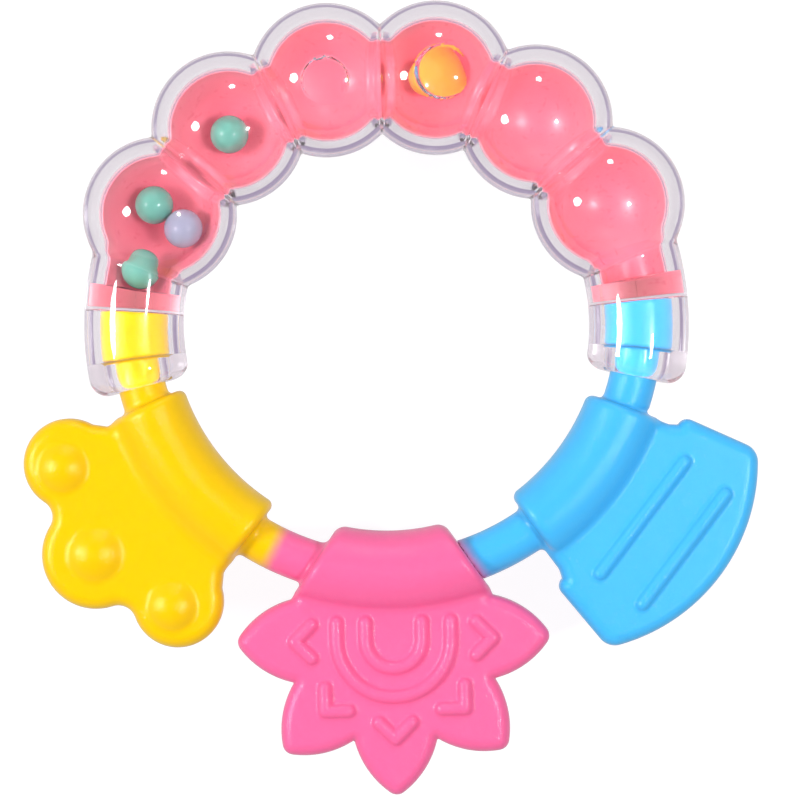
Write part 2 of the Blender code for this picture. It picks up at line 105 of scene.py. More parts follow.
# Flat gate pads inside the front half, by bubble from the right: radius, and the middle's (x, y)
# from the bubble's middle
PADS = {2: (3.65, (1.15, 0.0)), 3: (3.2, (0.0, -1.1))}
PAD_RIM_SLOPE = 1.1
PAD_SPREAD = 8.0  # degrees of the ring each side of a bubble's middle that its pad may reach
LINER = 0.8  # the liner's wall, which thins towards its rim
LINER_AT_RIM = 0.3  # share of the wall
LINER_GROWTH = 1.6
FOOT_CORE = 0.05  # what stays open along a foot's middle
LEAST_REACH = 0.5
STATION_STEP = 0.5  # degrees
COLUMNS = 97  # points across each half of the arch
FINE_COLUMNS = 161  # inside the front half, for the pads' rims
CAP_RINGS = 12

# Bow
BOW_LIFT = 0.6
ROD_R = 3.55
NECK_R = 3.45
NECK_BLEND = 0.6
PLUG_R = 5.35
PLUG_CORNER = 0.5
HINGE_ANGLE = -14.6
YELLOW_PINK = 242.4  # where on the ring the paw's colour ends and the flower's starts
PLATE_HALF = 3.0
PLATE_ROUND = 2.1
COLLAR_R = 6.2
COLLAR_CORNER = 1.3
RIDGE_R = 1.08
RIDGE_SINK = 0.1
ROD_BLEND = 1.0
RELIEF_BLEND = 0.45
SHARP_ANGLE = 40  # degrees
SILICONE_SHARP_ANGLE = 50
NET = 0.32  # cell of the silicone's surface net


def place(points):
    """Millimetres from the ring's centre as metres in the frame."""
    return np.asarray(points) * MM + np.array(RING_CENTRE)


def add_object(name, data):
    obj = bpy.data.objects.new(name, data)
    bpy.context.scene.collection.objects.link(obj)
    return obj


def edit_mesh(mesh, edit, sharp_angle):
    """Runs edit on the mesh as a bmesh, and shades it smooth up to sharp_angle."""
    bm = bmesh.new()
    bm.from_mesh(mesh)
    edit(bm)
    bm.to_mesh(mesh)
    bm.free()
    mesh.shade_smooth()
    mesh.set_sharp_from_angle(angle=math.radians(sharp_angle))


def weld(bm):
    bmesh.ops.remove_doubles(bm, verts=bm.verts, dist=1e-7)
    bmesh.ops.recalc_face_normals(bm, faces=bm.faces)


def mesh_object(name, points, faces, sharp_angle=SHARP_ANGLE):
    mesh = bpy.data.meshes.new(name)
    mesh.from_pydata(place(points).tolist(), [], [list(map(int, face)) for face in faces])
    edit_mesh(mesh, weld, sharp_angle)
    return add_object(name, mesh)


# Fields: signed distances in millimetres, negative inside. They take numbers or arrays.


def smooth_min(a, b, k):
    h = np.maximum(k - np.abs(a - b), 0) / k
    return np.minimum(a, b) - h * h * k / 4


def smooth_max(a, b, k):
    return -smooth_min(-a, -b, k)


def rounded_meet(a, b, r):
    """What lies in both shapes, with the edge between them rounded by r."""
    a = a + r
    b = b + r
    return np.minimum(np.maximum(a, b), 0) + np.hypot(np.maximum(a, 0), np.maximum(b, 0)) - r


def segment_distance(u, v, start, end):
    du, dv = end[0] - start[0], end[1] - start[1]
    t = np.clip(((u - start[0]) * du + (v - start[1]) * dv) / (du * du + dv * dv), 0, 1)
    return np.hypot(u - start[0] - t * du, v - start[1] - t * dv)


def path_distance(u, v, path):
    nearest = segment_distance(u, v, path[0], path[1])
    for start, end in zip(path[1:], path[2:]):
        nearest = np.minimum(nearest, segment_distance(u, v, start, end))
    return nearest


def outline_distance(u, v, outline):
    """Signed distance to a closed outline."""
    inside = np.zeros(np.broadcast(u, v).shape, bool)
    for (u0, v0), (u1, v1) in zip(outline, outline[1:] + outline[:1]):
        if v0 != v1:
            inside ^= ((v0 > v) != (v1 > v)) & (u < u0 + (v - v0) * (u1 - u0) / (v1 - v0))
    return np.where(inside, -1, 1) * path_distance(u, v, outline + outline[:1])


def cos_sin(angle):
    return math.cos(math.radians(angle)), math.sin(math.radians(angle))


def arc(centre, radius, start, end, spacing=0.35):
    """Points (u, v) on an arc."""
    steps = max(2, math.ceil(abs(math.radians(end - start)) * radius / spacing))
    points = []
    for k in range(steps + 1):
        c, s = cos_sin(start + (end - start) * k / steps)
        points.append((centre[0] + radius * c, centre[1] + radius * s))
    return points


def surface_net(field, low, high):
    """A smooth quad mesh of where field is zero, in the box from low to high."""
    axes = [np.arange(a, b + NET, NET) for a, b in zip(low, high)]
    grid = np.meshgrid(*axes, indexing="ij", sparse=True)
    values = field(*grid).astype(np.float64)
    cells = tuple(n - 1 for n in values.shape)
    total = np.zeros((*cells, 3))
    count = np.zeros(cells)
    corners = [(i, j, k) for i in (0, 1) for j in (0, 1) for k in (0, 1)]
    at = {c: values[tuple(slice(o, o + n) for o, n in zip(c, cells))] for c in corners}
    for c in corners:
        for axis in range(3):
            if c[axis]:
                continue
            d = tuple(o + (n == axis) for n, o in enumerate(c))
            crossed = (at[c] < 0) != (at[d] < 0)
            share = np.where(crossed, at[c] / np.where(crossed, at[c] - at[d], 1), 0)
            count += crossed
            for n in range(3):
                total[..., n] += np.where(crossed, c[n] + (share if n == axis else 0), 0)
    used = count > 0
    number = np.full(cells, -1)
    number[used] = np.arange(used.sum())
    where = np.argwhere(used)
    points = np.array(low) + NET * (where + total[used] / count[used][:, None])
    faces = []
    for axis in range(3):
        b, c = (axis + 1) % 3, (axis + 2) % 3
        first = [slice(1, n) for n in cells]
        first[axis] = slice(0, cells[axis])
        after = list(first)
        after[axis] = slice(1, cells[axis] + 1)
        start, end = values[tuple(first)], values[tuple(after)]
        for rising in (True, False):
            hit = (start < 0) & (end >= 0) if rising else (start >= 0) & (end < 0)
            spots = np.argwhere(hit)
            spots[:, b] += 1
            spots[:, c] += 1
            ring = []
            for db, dc in ((1, 1), (0, 1), (0, 0), (1, 0)):
                cell = spots.copy()
                cell[:, b] -= db
                cell[:, c] -= dc
                ring.append(number[tuple(cell.T)])
            faces.append(np.stack(ring if rising else ring[::-1], 1))
    return settle(field, points), np.concatenate(faces)


def settle(field, points, rounds=3):
    """Moves points onto the surface, along the field's slope."""
    step = 0.02
    for _ in range(rounds):
        x, y, z = points.T
        value = field(x, y, z)
        slope = np.stack(
            [
                field(x + step, y, z) - field(x - step, y, z),
                field(x, y + step, z) - field(x, y - step, z),
                field(x, y, z + step) - field(x, y, z - step),
            ],
            1,
        ) / (2 * step)
        size = np.maximum((slope**2).sum(1), 0.25)
        move = np.clip(value / size, -NET, NET)
        points = points - slope * move[:, None]
    return points


# Silicone bow


def polar(x, y, lift=0.0):
    """Distance from the circle's centre and angle, from 0 to 360."""
    return np.hypot(x, y - lift), np.degrees(np.arctan2(y - lift, x)) % 360


def torus(x, y, z, radius, lift=0.0):
    rho, _ = polar(x, y, lift)
    return np.hypot(rho - RING_R, z) - radius


def between(x, y, start, end):
    """Signed distance past a stretch of the ring from angle start to end."""
    _, angle = polar(x, y)
    middle, half = (start + end) / 2, (end - start) / 2
    away = np.abs((angle - middle + 180) % 360 - 180)
    return (away - half) * math.radians(1) * RING_R


def end_face(x, y, axis, span, flare, side):
    """Signed distance past one end face of a collar."""
    c, s = cos_sin(axis + side * span)
    fc, fs = cos_sin(axis + side * (span + flare))
    return side * (-fs * (x - RING_R * c) + fc * (y - BOW_LIFT - RING_R * s))


def collar(x, y, z, axis, span, flare, bulge=0.0):
    """A teether's thick sleeve. bulge is how much further it reaches towards the ring's centre."""
    ends = np.maximum(
        end_face(x, y, axis, span, flare, 1), end_face(x, y, axis, span, flare, -1)
    )
    rho, angle = polar(x, y, BOW_LIFT)
    away = np.abs((angle - axis + 180) % 360 - 180) - 60
    tube = np.hypot(rho - RING_R + bulge / 2, z) - COLLAR_R - bulge / 2
    return rounded_meet(tube, np.maximum(ends, away), COLLAR_CORNER)


def plate(outline, u, v, z):
    return rounded_meet(outline_distance(u, v, outline), np.abs(z) - PLATE_HALF, PLATE_ROUND)


def along(x, y, axis):
    """x and y turned into u along a teether's axis and v square to it."""
    c, s = cos_sin(axis)
    return x * c + y * s, -x * s + y * c


def ridge(distance, z):
    return np.hypot(distance, z - PLATE_HALF + RIDGE_SINK) - RIDGE_R


def plug_and_neck(x, y, z, mirrored):
    """A bow's end, from just outside the sleeve up to the top of its pocket."""
    if mirrored:
        x = -x
    shift = math.degrees(FIT / RING_R)
    wide = rounded_meet(
        torus(x, y, z, PLUG_R),
        between(x, y, POCKET_BOTTOM + shift + 360, BULKHEAD_BOTTOM - shift + 360),
        PLUG_CORNER,
    )
    neck = np.maximum(
        torus(x, y, z, NECK_R), between(x, y, HINGE_ANGLE - 4 + 360, POCKET_BOTTOM + 362)
    )
    return smooth_min(wide, neck, NECK_BLEND)


# Paw
PAW = dict(axis=217.0, span=19.1, flare=-6.1)
PAW_BOX = (-60, -52, -7), (-12, 6, 7)
PAW_BLEND = 1.5
PAW_MIDDLE, PAW_MIDDLE_R = (58.5, 0.0), 8.6
PAW_SIDE, PAW_SIDE_R = (53.0, 13.9), 7.2
PAW_FILLET = 2.8
PAW_BUMPS = ((58.5, 0.0, 4.3), (54.0, 13.9, 3.9), (54.0, -13.9, 3.9))
BUMP_HEIGHT = 1.7
BUMP_BLEND = 0.5


def paw_outline():
    middle, side = Vector(PAW_MIDDLE), Vector(PAW_SIDE)
    to_side = side - middle
    long, short = PAW_MIDDLE_R + PAW_FILLET, PAW_SIDE_R + PAW_FILLET
    spread = math.acos((long**2 + to_side.length**2 - short**2) / (2 * long * to_side.length))
    heading = math.degrees(math.atan2(to_side.y, to_side.x) - spread)
    fillet = middle + long * Vector(cos_sin(heading))
    to_lobe = math.degrees(math.atan2(side.y - fillet.y, side.x - fillet.x)) % 360
    half = arc(PAW_MIDDLE, PAW_MIDDLE_R, 0, heading)
    half += arc(fillet, PAW_FILLET, heading + 180, to_lobe)[1:-1]
    half += arc(PAW_SIDE, PAW_SIDE_R, to_lobe - 180, 158)
    half += [(44.6, 14.8), (39.0, 12.6)]
    return [(u, -v) for u, v in reversed(half[1:])] + half


def paw_field(x, y, z):
    u, v = along(x, y, PAW["axis"])
    shape = smooth_min(plate(PAW_OUTLINE, u, v, z), collar(x, y, z, **PAW), PAW_BLEND)
    rods = np.maximum(
        torus(x, y, z, ROD_R, BOW_LIFT),
        between(x, y, 180 - HINGE_ANGLE - 1.5, YELLOW_PINK + 3),
    )
    rods = smooth_min(rods, plug_and_neck(x, y, z, True), ROD_BLEND)
    shape = smooth_min(shape, rods, ROD_BLEND)
    for bu, bv, radius in PAW_BUMPS:
        sphere = (radius**2 + BUMP_HEIGHT**2) / (2 * BUMP_HEIGHT)
        centre = PLATE_HALF + BUMP_HEIGHT - sphere
        dome = np.sqrt((u - bu) ** 2 + (v - bv) ** 2 + (z - centre) ** 2) - sphere
        shape = smooth_min(shape, dome, BUMP_BLEND)
    return shape


# Flower
FLOWER = dict(axis=270.0, span=18.0, flare=16.0, bulge=0.7)
FLOWER_BOX = (-27, -76, -7), (27, -29, 7)
FLOWER_BLEND = 0.9
HUB_U = 49.6
PETAL_TIP, PETAL_NOTCH = 24.7, 17.2
PETAL_STEP = 45.0
PETAL_SIDE_R, PETAL_TIP_R = 14.3, 1.8
PETAL_TURNS = (-2, -1, 0, 1, 2)
U_RIDGE_RADII, U_RIDGE_LEG = (9.0, 4.45), 2.8
CHEVRON_REACH, CHEVRON_ARM = 15.6, 3.7


def flower_outline():
    notch = PETAL_NOTCH * Vector(cos_sin(PETAL_STEP / 2))
    tip = Vector((PETAL_TIP + 0.3, 0))
    chord = tip - notch
    back = math.sqrt(PETAL_SIDE_R**2 - (chord.length / 2) ** 2)
    normal = Vector((chord.y, -chord.x)).normalized()
    side = (notch + tip) / 2 + back * normal
    tip_u = side.x + math.sqrt((PETAL_SIDE_R - PETAL_TIP_R) ** 2 - side.y**2)
    touch = math.degrees(math.atan2(-side.y, tip_u - side.x))
    start = math.degrees(math.atan2(notch.y - side.y, notch.x - side.x))
    half = arc((tip_u, 0), PETAL_TIP_R, 0, touch)
    half += arc(side, PETAL_SIDE_R, touch, start)[1:]
    petal = [(u, -v) for u, v in reversed(half[1:])] + half
    points = [(38.5, 11.2), (38.5, -11.2)]
    for turn in PETAL_TURNS:
        c, s = cos_sin(turn * PETAL_STEP)
        points += [(HUB_U + u * c - v * s, u * s + v * c) for u, v in petal[1:]]
    return points


def flower_ridges():
    """The paths (u, v) of the two U ridges and of each petal's chevron."""
    paths = []
    for radius in U_RIDGE_RADII:
        bend = arc((HUB_U, 0), radius, -90, 90)
        leg = HUB_U - U_RIDGE_LEG
        paths.append([(leg, -radius)] + bend + [(leg, radius)])
    for turn in PETAL_TURNS:
        c, s = cos_sin(turn * PETAL_STEP)
        apex = (HUB_U + CHEVRON_REACH * c, CHEVRON_REACH * s)
        arms = []
        for side in (-1, 1):
            ac, as_ = cos_sin(turn * PETAL_STEP + side * 135)
            arms.append((apex[0] + CHEVRON_ARM * ac, apex[1] + CHEVRON_ARM * as_))
        paths.append([arms[0], apex, arms[1]])
    return paths


def flower_body(x, y, z):
    u, v = along(x, y, FLOWER["axis"])
    return smooth_min(
        plate(FLOWER_OUTLINE, u, v, z), collar(x, y, z, **FLOWER), FLOWER_BLEND
    )


def flower_field(x, y, z):
    u, v = along(x, y, FLOWER["axis"])
    rods = np.maximum(torus(x, y, z, ROD_R, BOW_LIFT), between(x, y, YELLOW_PINK - 3, 280))
    shape = smooth_min(flower_body(x, y, z), rods, ROD_BLEND)
    relief = ridge(path_distance(u, v, FLOWER_RIDGES[0]), z)
    for path in FLOWER_RIDGES[1:]:
        relief = np.minimum(relief, ridge(path_distance(u, v, path), z))
    return smooth_min(shape, relief, RELIEF_BLEND)


# Fan
FAN = dict(axis=321.7, span=17.3, flare=-0.7)
FAN_BOX = (9, -54, -7), (61, 6, 7)
FAN_BLEND = 0.7
FAN_ARC_U, FAN_ARC_R = 36.0, 30.0
FAN_SHOULDER = (46.7, 16.9)
FAN_SIDE_ANGLE = 13.0
FAN_CORNER_R = 3.0
FAN_SHOULDER_R, FAN_SHOULDER_SHIFT = 1.6, 0.9
FAN_RIBS = ((50.4, 11.0), (58.6, 10.8))


def fan_outline():
    """Straight sides that open outwards, round corners and a round far edge."""
    c, s = cos_sin(FAN_SIDE_ANGLE)
    inner = FAN_ARC_R - FAN_CORNER_R
    start_u = FAN_SHOULDER[0] + FAN_CORNER_R * s - FAN_ARC_U
    start_v = FAN_SHOULDER[1] - FAN_CORNER_R * c
    along_side = start_u * c + start_v * s
    reach = -along_side + math.sqrt(along_side**2 - start_u**2 - start_v**2 + inner**2)
    corner = (FAN_ARC_U + start_u + reach * c, start_v + reach * s)
    heading = math.degrees(math.atan2(corner[1], corner[0] - FAN_ARC_U))
    half = arc((FAN_ARC_U, 0), FAN_ARC_R, 0, heading)
    half += arc(corner, FAN_CORNER_R, heading, 90 + FAN_SIDE_ANGLE)[1:]
    shoulder = (FAN_SHOULDER[0] + FAN_SHOULDER_R * s + FAN_SHOULDER_SHIFT * c,
                FAN_SHOULDER[1] - FAN_SHOULDER_R * c + FAN_SHOULDER_SHIFT * s)
    half += arc(shoulder, FAN_SHOULDER_R, 90 + FAN_SIDE_ANGLE, 190)
    half += [(45.1, 14.4), (38.5, 12.5)]
    return [(u, -v) for u, v in reversed(half[1:])] + half


def fan_field(x, y, z):
    u, v = along(x, y, FAN["axis"])
    shape = smooth_min(plate(FAN_OUTLINE, u, v, z), collar(x, y, z, **FAN), FAN_BLEND)
    rods = np.maximum(
        torus(x, y, z, ROD_R, BOW_LIFT), between(x, y, 284, 360 + HINGE_ANGLE + 1.5)
    )
    rods = smooth_min(rods, plug_and_neck(x, y, z, False), ROD_BLEND)
    shape = smooth_min(shape, rods, ROD_BLEND)
    shape = smooth_max(shape, FIT - flower_body(x, y, z), 0.15)  # its rod ends at the flower
    for rib_u, rib_v in FAN_RIBS:
        rib = ridge(segment_distance(u, v, (rib_u, -rib_v), (rib_u, rib_v)), z)
        shape = smooth_min(shape, rib, RELIEF_BLEND)
    return shape


PAW_OUTLINE = paw_outline()
FLOWER_OUTLINE = flower_outline()
FLOWER_RIDGES = flower_ridges()
FAN_OUTLINE = fan_outline()


def cut(obj, point, normal):
    """Cuts off what lies past the plane through point, and closes the cut."""

    def bisect(bm):
        result = bmesh.ops.bisect_plane(
            bm,
            geom=bm.verts[:] + bm.edges[:] + bm.faces[:],
            dist=1e-8,
            plane_co=place(point),
            plane_no=normal,
            clear_outer=True,
        )
        edges = [item for item in result["geom_cut"] if isinstance(item, bmesh.types.BMEdge)]
        bmesh.ops.holes_fill(bm, edges=edges)

    edit_mesh(obj.data, bisect, SILICONE_SHARP_ANGLE)


def seams():
    """A point on each colour seam, and the direction from the fan's side to the paw's side."""
    c, s = cos_sin(YELLOW_PINK)
    left = ((RING_R * c, RING_R * s + BOW_LIFT, 0), (s, -c, 0))
    c, s = cos_sin(FLOWER["axis"] + FLOWER["span"] + 0.5)
    fc, fs = cos_sin(FLOWER["axis"] + FLOWER["span"] + FLOWER["flare"])
    right = ((RING_R * c, RING_R * s + BOW_LIFT, 0), (fs, -fc, 0))
    return left, right


def silicone_piece(name, field, box, cuts):
    points, faces = surface_net(field, *box)
    obj = mesh_object(name, points, faces, SILICONE_SHARP_ANGLE)
    for point, normal in cuts:
        cut(obj, point, normal)
    return obj


# Arch shells


def bubble_angles():
    first = 90 - BUBBLE_STEP * (BUBBLE_COUNT - 1) / 2
    return [first + BUBBLE_STEP * k for k in range(BUBBLE_COUNT)]


def sphere_reach(angle, phi, radius, k):
    """How far the bubbles' spheres reach from the ring line at angle, in the direction phi."""
    best = np.full(np.broadcast(angle, phi).shape, LEAST_REACH)
    for centre in bubble_angles():
        away = np.radians(angle - centre)
        inwards = RING_R * (1 - np.cos(away))
        inside = radius**2 - (RING_R * np.sin(away)) ** 2 - (inwards * np.sin(phi)) ** 2
        near = (inside > 0) & (np.abs(angle - centre) < BUBBLE_STEP)
        far_side = -inwards * np.cos(phi) + np.sqrt(np.maximum(inside, 0))
        reach = np.where(near, far_side, LEAST_REACH)
        best = smooth_max(best, reach, k)
    return best


def outer_reach(angle, phi):
    ends = np.minimum(angle, 180 - angle) < bubble_angles()[0]
    sleeve = np.where(ends, SLEEVE_R, LEAST_REACH)
    spheres = sphere_reach(angle, phi, BUBBLE_R, OUTSIDE_BLEND)
    return smooth_max(spheres, sleeve, OUTSIDE_BLEND)


def cavity_reach(angle, phi, inset=0.0):
    """The cavity's bubbles, with straight passages between them and a chamber in each neck."""
    spheres = sphere_reach(angle, phi, CAVITY_R - inset, BUBBLE_BLEND)
    first = bubble_angles()[0]
    if min(angle, 180 - angle) < first:
        return smooth_max(spheres, CHAMBER_R - inset, CHAMBER_BLEND)
    away = math.radians((angle - first) % BUBBLE_STEP - BUBBLE_STEP / 2)
    chord = RING_R * math.cos(math.radians(BUBBLE_STEP / 2)) / math.cos(away)
    inwards = RING_R - chord
    root = (PASSAGE_R - inset) ** 2 - (inwards * np.sin(phi)) ** 2
    return smooth_max(spheres, -inwards * np.cos(phi) + np.sqrt(root), PASSAGE_BLEND)


def stations(start):
    """Even angles from start on the right, over the top, to the same place on the left."""
    count = round((180 - 2 * start) / STATION_STEP)
    return np.linspace(start, 180 - start, count + 1)


def ring_points(angle, reach, phi):
    """Points in the radial plane at angle, at reach from the ring line in the directions phi."""
    c, s = cos_sin(angle)
    rho = RING_R + reach * np.cos(phi)
    return np.stack([rho * c, rho * s, reach * np.sin(phi)], 1)


def sheet(rows):
    """Quads between neighbouring rows of points."""
    rows = np.array(rows)
    count, width, _ = rows.shape
    index = np.arange(count * width).reshape(count, width)
    quads = np.stack([index[:-1, :-1], index[:-1, 1:], index[1:, 1:], index[1:, :-1]], -1)
    return rows.reshape(-1, 3), quads.reshape(-1, 4)


def sleeve_profile():
    """(angle, radius) from the middle of the bulkhead's lower face, round the pocket and the mouth,
    to where the sleeve's side starts."""
    degree = math.degrees(1 / RING_R)
    hole = NECK_R + FIT
    pocket = PLUG_R + FIT
    flat = SLEEVE_R - SLEEVE_CORNER
    quarter = np.linspace(0, math.pi / 2, 5)
    path = [(BULKHEAD_BOTTOM, r) for r in np.linspace(0, pocket - POCKET_CORNER, CAP_RINGS)]
    for t in quarter:
        path.append((BULKHEAD_BOTTOM - POCKET_CORNER * degree * (1 - math.cos(t)),
                     pocket - POCKET_CORNER * (1 - math.sin(t))))
    path += [(a, pocket) for a in np.linspace(BULKHEAD_BOTTOM, POCKET_BOTTOM, 26)[1:-1]]
    path += [(POCKET_BOTTOM, r) for r in np.linspace(pocket, hole, 6)]
    path += [(a, hole) for a in np.linspace(POCKET_BOTTOM, SLEEVE_END + MOUTH_EDGE, 14)[1:]]
    for t in quarter[1:]:
        path.append((SLEEVE_END + MOUTH_EDGE * (1 - math.sin(t)),
                     hole + MOUTH_FLARE * (1 - math.cos(t))))
    path += [(SLEEVE_END, r) for r in np.linspace(hole + MOUTH_FLARE, flat, 4)[1:]]
    for t in np.linspace(0, math.pi / 2, 12)[1:]:
        path.append((SLEEVE_END + SLEEVE_CORNER * degree * (1 - math.cos(t)),
                     flat + SLEEVE_CORNER * math.sin(t)))
    return path


def gate_pads(angle, phi, reach):
    """Flattens the inside of two bubbles' tops, with sloping rims."""
    ring = np.array(cos_sin(angle))
    for bubble, (radius, (x, y)) in PADS.items():
        middle = RING_R * np.array(cos_sin(bubble_angles()[bubble])) + (x, y)
        if abs(angle - bubble_angles()[bubble]) > BUBBLE_STEP / 2:
            continue
        level = math.sqrt(CAVITY_R**2 - (radius + math.hypot(x, y)) ** 2)
        for _ in range(4):
            spots = np.outer(RING_R + reach * np.cos(phi), ring) - middle
            rim = np.maximum(np.hypot(*spots.T) - radius, 0)
            cap = (level + PAD_RIM_SLOPE * rim) / np.maximum(np.sin(phi), 0.05)
            reach = np.minimum(reach, cap)
    return reach


def stations_over_pads(start):
    """Stations between the front cavity's ends, twice as close where the gate pads are."""
    angles = stations(start)[1:-1]
    halfway = (angles[:-1] + angles[1:]) / 2
    near = [np.abs(halfway - bubble_angles()[bubble]) < PAD_SPREAD for bubble in PADS]
    return np.sort(np.concatenate([angles, halfway[np.any(near, axis=0)]]))


def fill_parting_face(bm):
    edges = [edge for edge in bm.edges if edge.is_boundary]
    bmesh.ops.triangle_fill(
        bm, edges=edges, use_beauty=True, use_dissolve=False, normal=(0, 0, 1)
    )
    bmesh.ops.recalc_face_normals(bm, faces=bm.faces)


def shell_outside():
    """The arch's upper half from outside, with its sleeves' mouths and pockets."""
    phi = np.linspace(0, math.pi, COLUMNS)
    flat = np.zeros_like(phi)
    profile = sleeve_profile()
    rows = [ring_points(a, r + flat, phi) for a, r in profile]
    start = profile[-1][0]
    rows += [ring_points(a, outer_reach(a, phi), phi) for a in stations(start)[1:-1]]
    rows += [ring_points(180 - a, r + flat, phi) for a, r in reversed(profile)]
    return sheet(rows)


def shell_inside(end, with_pads):
    """The upper half of the arch's cavity, closed by flat caps at both ends."""
    phi = np.linspace(0, math.pi, FINE_COLUMNS if with_pads else COLUMNS)
    flat = np.zeros_like(phi)
    rings = np.linspace(0, CHAMBER_R, CAP_RINGS)
    rows = [ring_points(end, r + flat, phi) for r in rings]
    for a in stations_over_pads(end) if with_pads else stations(end)[1:-1]:
        reach = cavity_reach(a, phi)
        rows.append(ring_points(a, gate_pads(a, phi, reach) if with_pads else reach, phi))
    rows += [ring_points(180 - end, r + flat, phi) for r in reversed(rings)]
    return sheet(rows)


def shell_half(name, side):
    """One half of the clear arch. side is 1 for the front and -1 for the back."""
    front = side > 0
    outside, outside_faces = shell_outside()
    inside, inside_faces = shell_inside(BULKHEAD_TOP if front else LINER_FOOT, front)
    points = np.concatenate([outside, inside])
    points[:, 2] = side * (points[:, 2] + SEAM)
    obj = mesh_object(name, points, np.concatenate([outside_faces, inside_faces + len(outside)]))
    edit_mesh(obj.data, fill_parting_face, SHARP_ANGLE)
    return obj


def liner():
    """The salmon half shell: hollow over the cavity, and solid in the bulkheads."""
    phi = np.linspace(math.pi, 2 * math.pi, COLUMNS)
    start = LINER_FOOT + math.degrees(FIT / RING_R)
    sections = []
    for a in stations(start):
        outer = ring_points(a, cavity_reach(a, phi, FIT), phi)
        hollow = min(a, 180 - a) > BULKHEAD_TOP
        wall = LINER * np.minimum(1, LINER_AT_RIM - LINER_GROWTH * np.sin(phi))
        reach = cavity_reach(a, phi, FIT + wall) if hollow else np.full_like(phi, FOOT_CORE)
        sections.append(np.concatenate([outer, ring_points(a, reach, phi)[::-1]]))
    rows = np.array([np.concatenate([s, s[:1]]) for s in sections])
    points, faces = sheet(rows)
    points[:, 2] -= SEAM
    width = rows.shape[1]
    caps = [list(range(width - 1)), list(range(len(points) - width, len(points) - 1))]
    return mesh_object("pink_liner_shell", points, faces.tolist() + caps)


BEAD_LINE = 0.004  # how far its parting line stands out, as a share of its radius
BEAD_LINE_WIDTH = 0.04
BEAD_GATE = 0.985  # where its gate mark cuts off its top


def bead(name, node):
    """A moulded ball: round, with a faint parting line and a small gate mark."""
    low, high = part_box(node)
    centre = (low + high) / 2
    radius = (high.z - low.z) / 2
    bm = bmesh.new()
    bmesh.ops.create_uvsphere(bm, u_segments=64, v_segments=40, radius=radius)
    for vert in bm.verts:
        line = math.exp(-((vert.co.z / (BEAD_LINE_WIDTH * radius)) ** 2))
        vert.co *= 1 + BEAD_LINE * line
        vert.co.z = min(vert.co.z, BEAD_GATE * radius)
    turn = Matrix.Rotation(0.9 + centre.x * 50, 3, (1, 0.4, 0.2))  # each ball lies its own way
    bmesh.ops.rotate(bm, verts=bm.verts, matrix=turn)
    bmesh.ops.translate(bm, verts=bm.verts, vec=centre)
    mesh = bpy.data.meshes.new(name)
    bm.to_mesh(mesh)
    bm.free()
    mesh.shade_smooth()
    return add_object(name, mesh)


# Materials


def new_material(name, colour, roughness, **values):
    material = bpy.data.materials.new(name)
    material.use_nodes = True
    shader = material.node_tree.nodes["Principled BSDF"]
    shader.inputs["Base Color"].default_value = (*colour, 1)
    shader.inputs["Roughness"].default_value = roughness
    for key, value in values.items():
        shader.inputs[key.replace("_", " ")].default_value = value
    return material, material.node_tree, shader


def add_node(tree, kind, **inputs):
    node = tree.nodes.new(kind)
    for key, value in inputs.items():
        node.inputs[key.replace("_", " ")].default_value = value
    return node


def noise(tree, scale, detail=2.0):
    coordinates = tree.nodes.new("ShaderNodeTexCoord")
    node = add_node(tree, "ShaderNodeTexNoise", Scale=scale, Detail=detail)
    tree.links.new(coordinates.outputs["Object"], node.inputs["Vector"])
    return node


def vary(tree, shader, source, low, high, socket="Roughness"):
    ramp = add_node(tree, "ShaderNodeMapRange", To_Min=low, To_Max=high)
    tree.links.new(source.outputs["Fac"], ramp.inputs["Value"])
    tree.links.new(ramp.outputs["Result"], shader.inputs[socket])


def add_bump(tree, shader, source, strength, distance, socket="Normal"):
    bump = add_node(tree, "ShaderNodeBump", Strength=strength, Distance=distance)
    tree.links.new(source.outputs["Fac"], bump.inputs["Height"])
    tree.links.new(bump.outputs["Normal"], shader.inputs[socket])


def mix_colours(tree, factor, first, second):
    """Mixes two colours, each a tuple or another node's output."""
    mix = tree.nodes.new("ShaderNodeMix")
    mix.data_type = "RGBA"
    tree.links.new(factor, mix.inputs["Factor"])
    for socket, value in ((mix.inputs[6], first), (mix.inputs[7], second)):
        if isinstance(value, tuple):
            socket.default_value = (*value, 1)
        else:
            tree.links.new(value, socket)
    return mix.outputs[2]


def mix_numbers(tree, factor, first, second):
    """Mixes two numbers. first is a number or another node's output."""
    mix = tree.nodes.new("ShaderNodeMix")
    tree.links.new(factor, mix.inputs["Factor"])
    if isinstance(first, float):
        mix.inputs[2].default_value = first
    else:
        tree.links.new(first, mix.inputs[2])
    mix.inputs[3].default_value = second
    return mix.outputs[0]


def from_attribute(tree, name):
    node = tree.nodes.new("ShaderNodeAttribute")
    node.attribute_name = name
    return node.outputs["Fac"]


CLEAR = (0.985, 0.945, 0.975)
LAMPLIGHT_THROUGH = (0.79, 0.775, 0.79)  # what each face lets through


def clear_plastic():
    """Clear, faintly pink plastic. Lamps shine through it, and lose some light at each face."""
    material, tree, shader = new_material(
        "clear_plastic_look", CLEAR, 0.02, IOR=1.5, Transmission_Weight=1.0,
        Coat_Weight=0.12, Coat_Roughness=0.14,
    )
    vary(tree, shader, noise(tree, 160), 0.0, 0.05)
    output = tree.nodes["Material Output"]
    path = tree.nodes.new("ShaderNodeLightPath")
    through = add_node(tree, "ShaderNodeBsdfTransparent", Color=(*LAMPLIGHT_THROUGH, 1))
    mix = tree.nodes.new("ShaderNodeMixShader")
    tree.links.new(path.outputs["Is Shadow Ray"], mix.inputs[0])
    tree.links.new(shader.outputs[0], mix.inputs[1])
    tree.links.new(through.outputs[0], mix.inputs[2])
    tree.links.new(mix.outputs[0], output.inputs["Surface"])
    return material


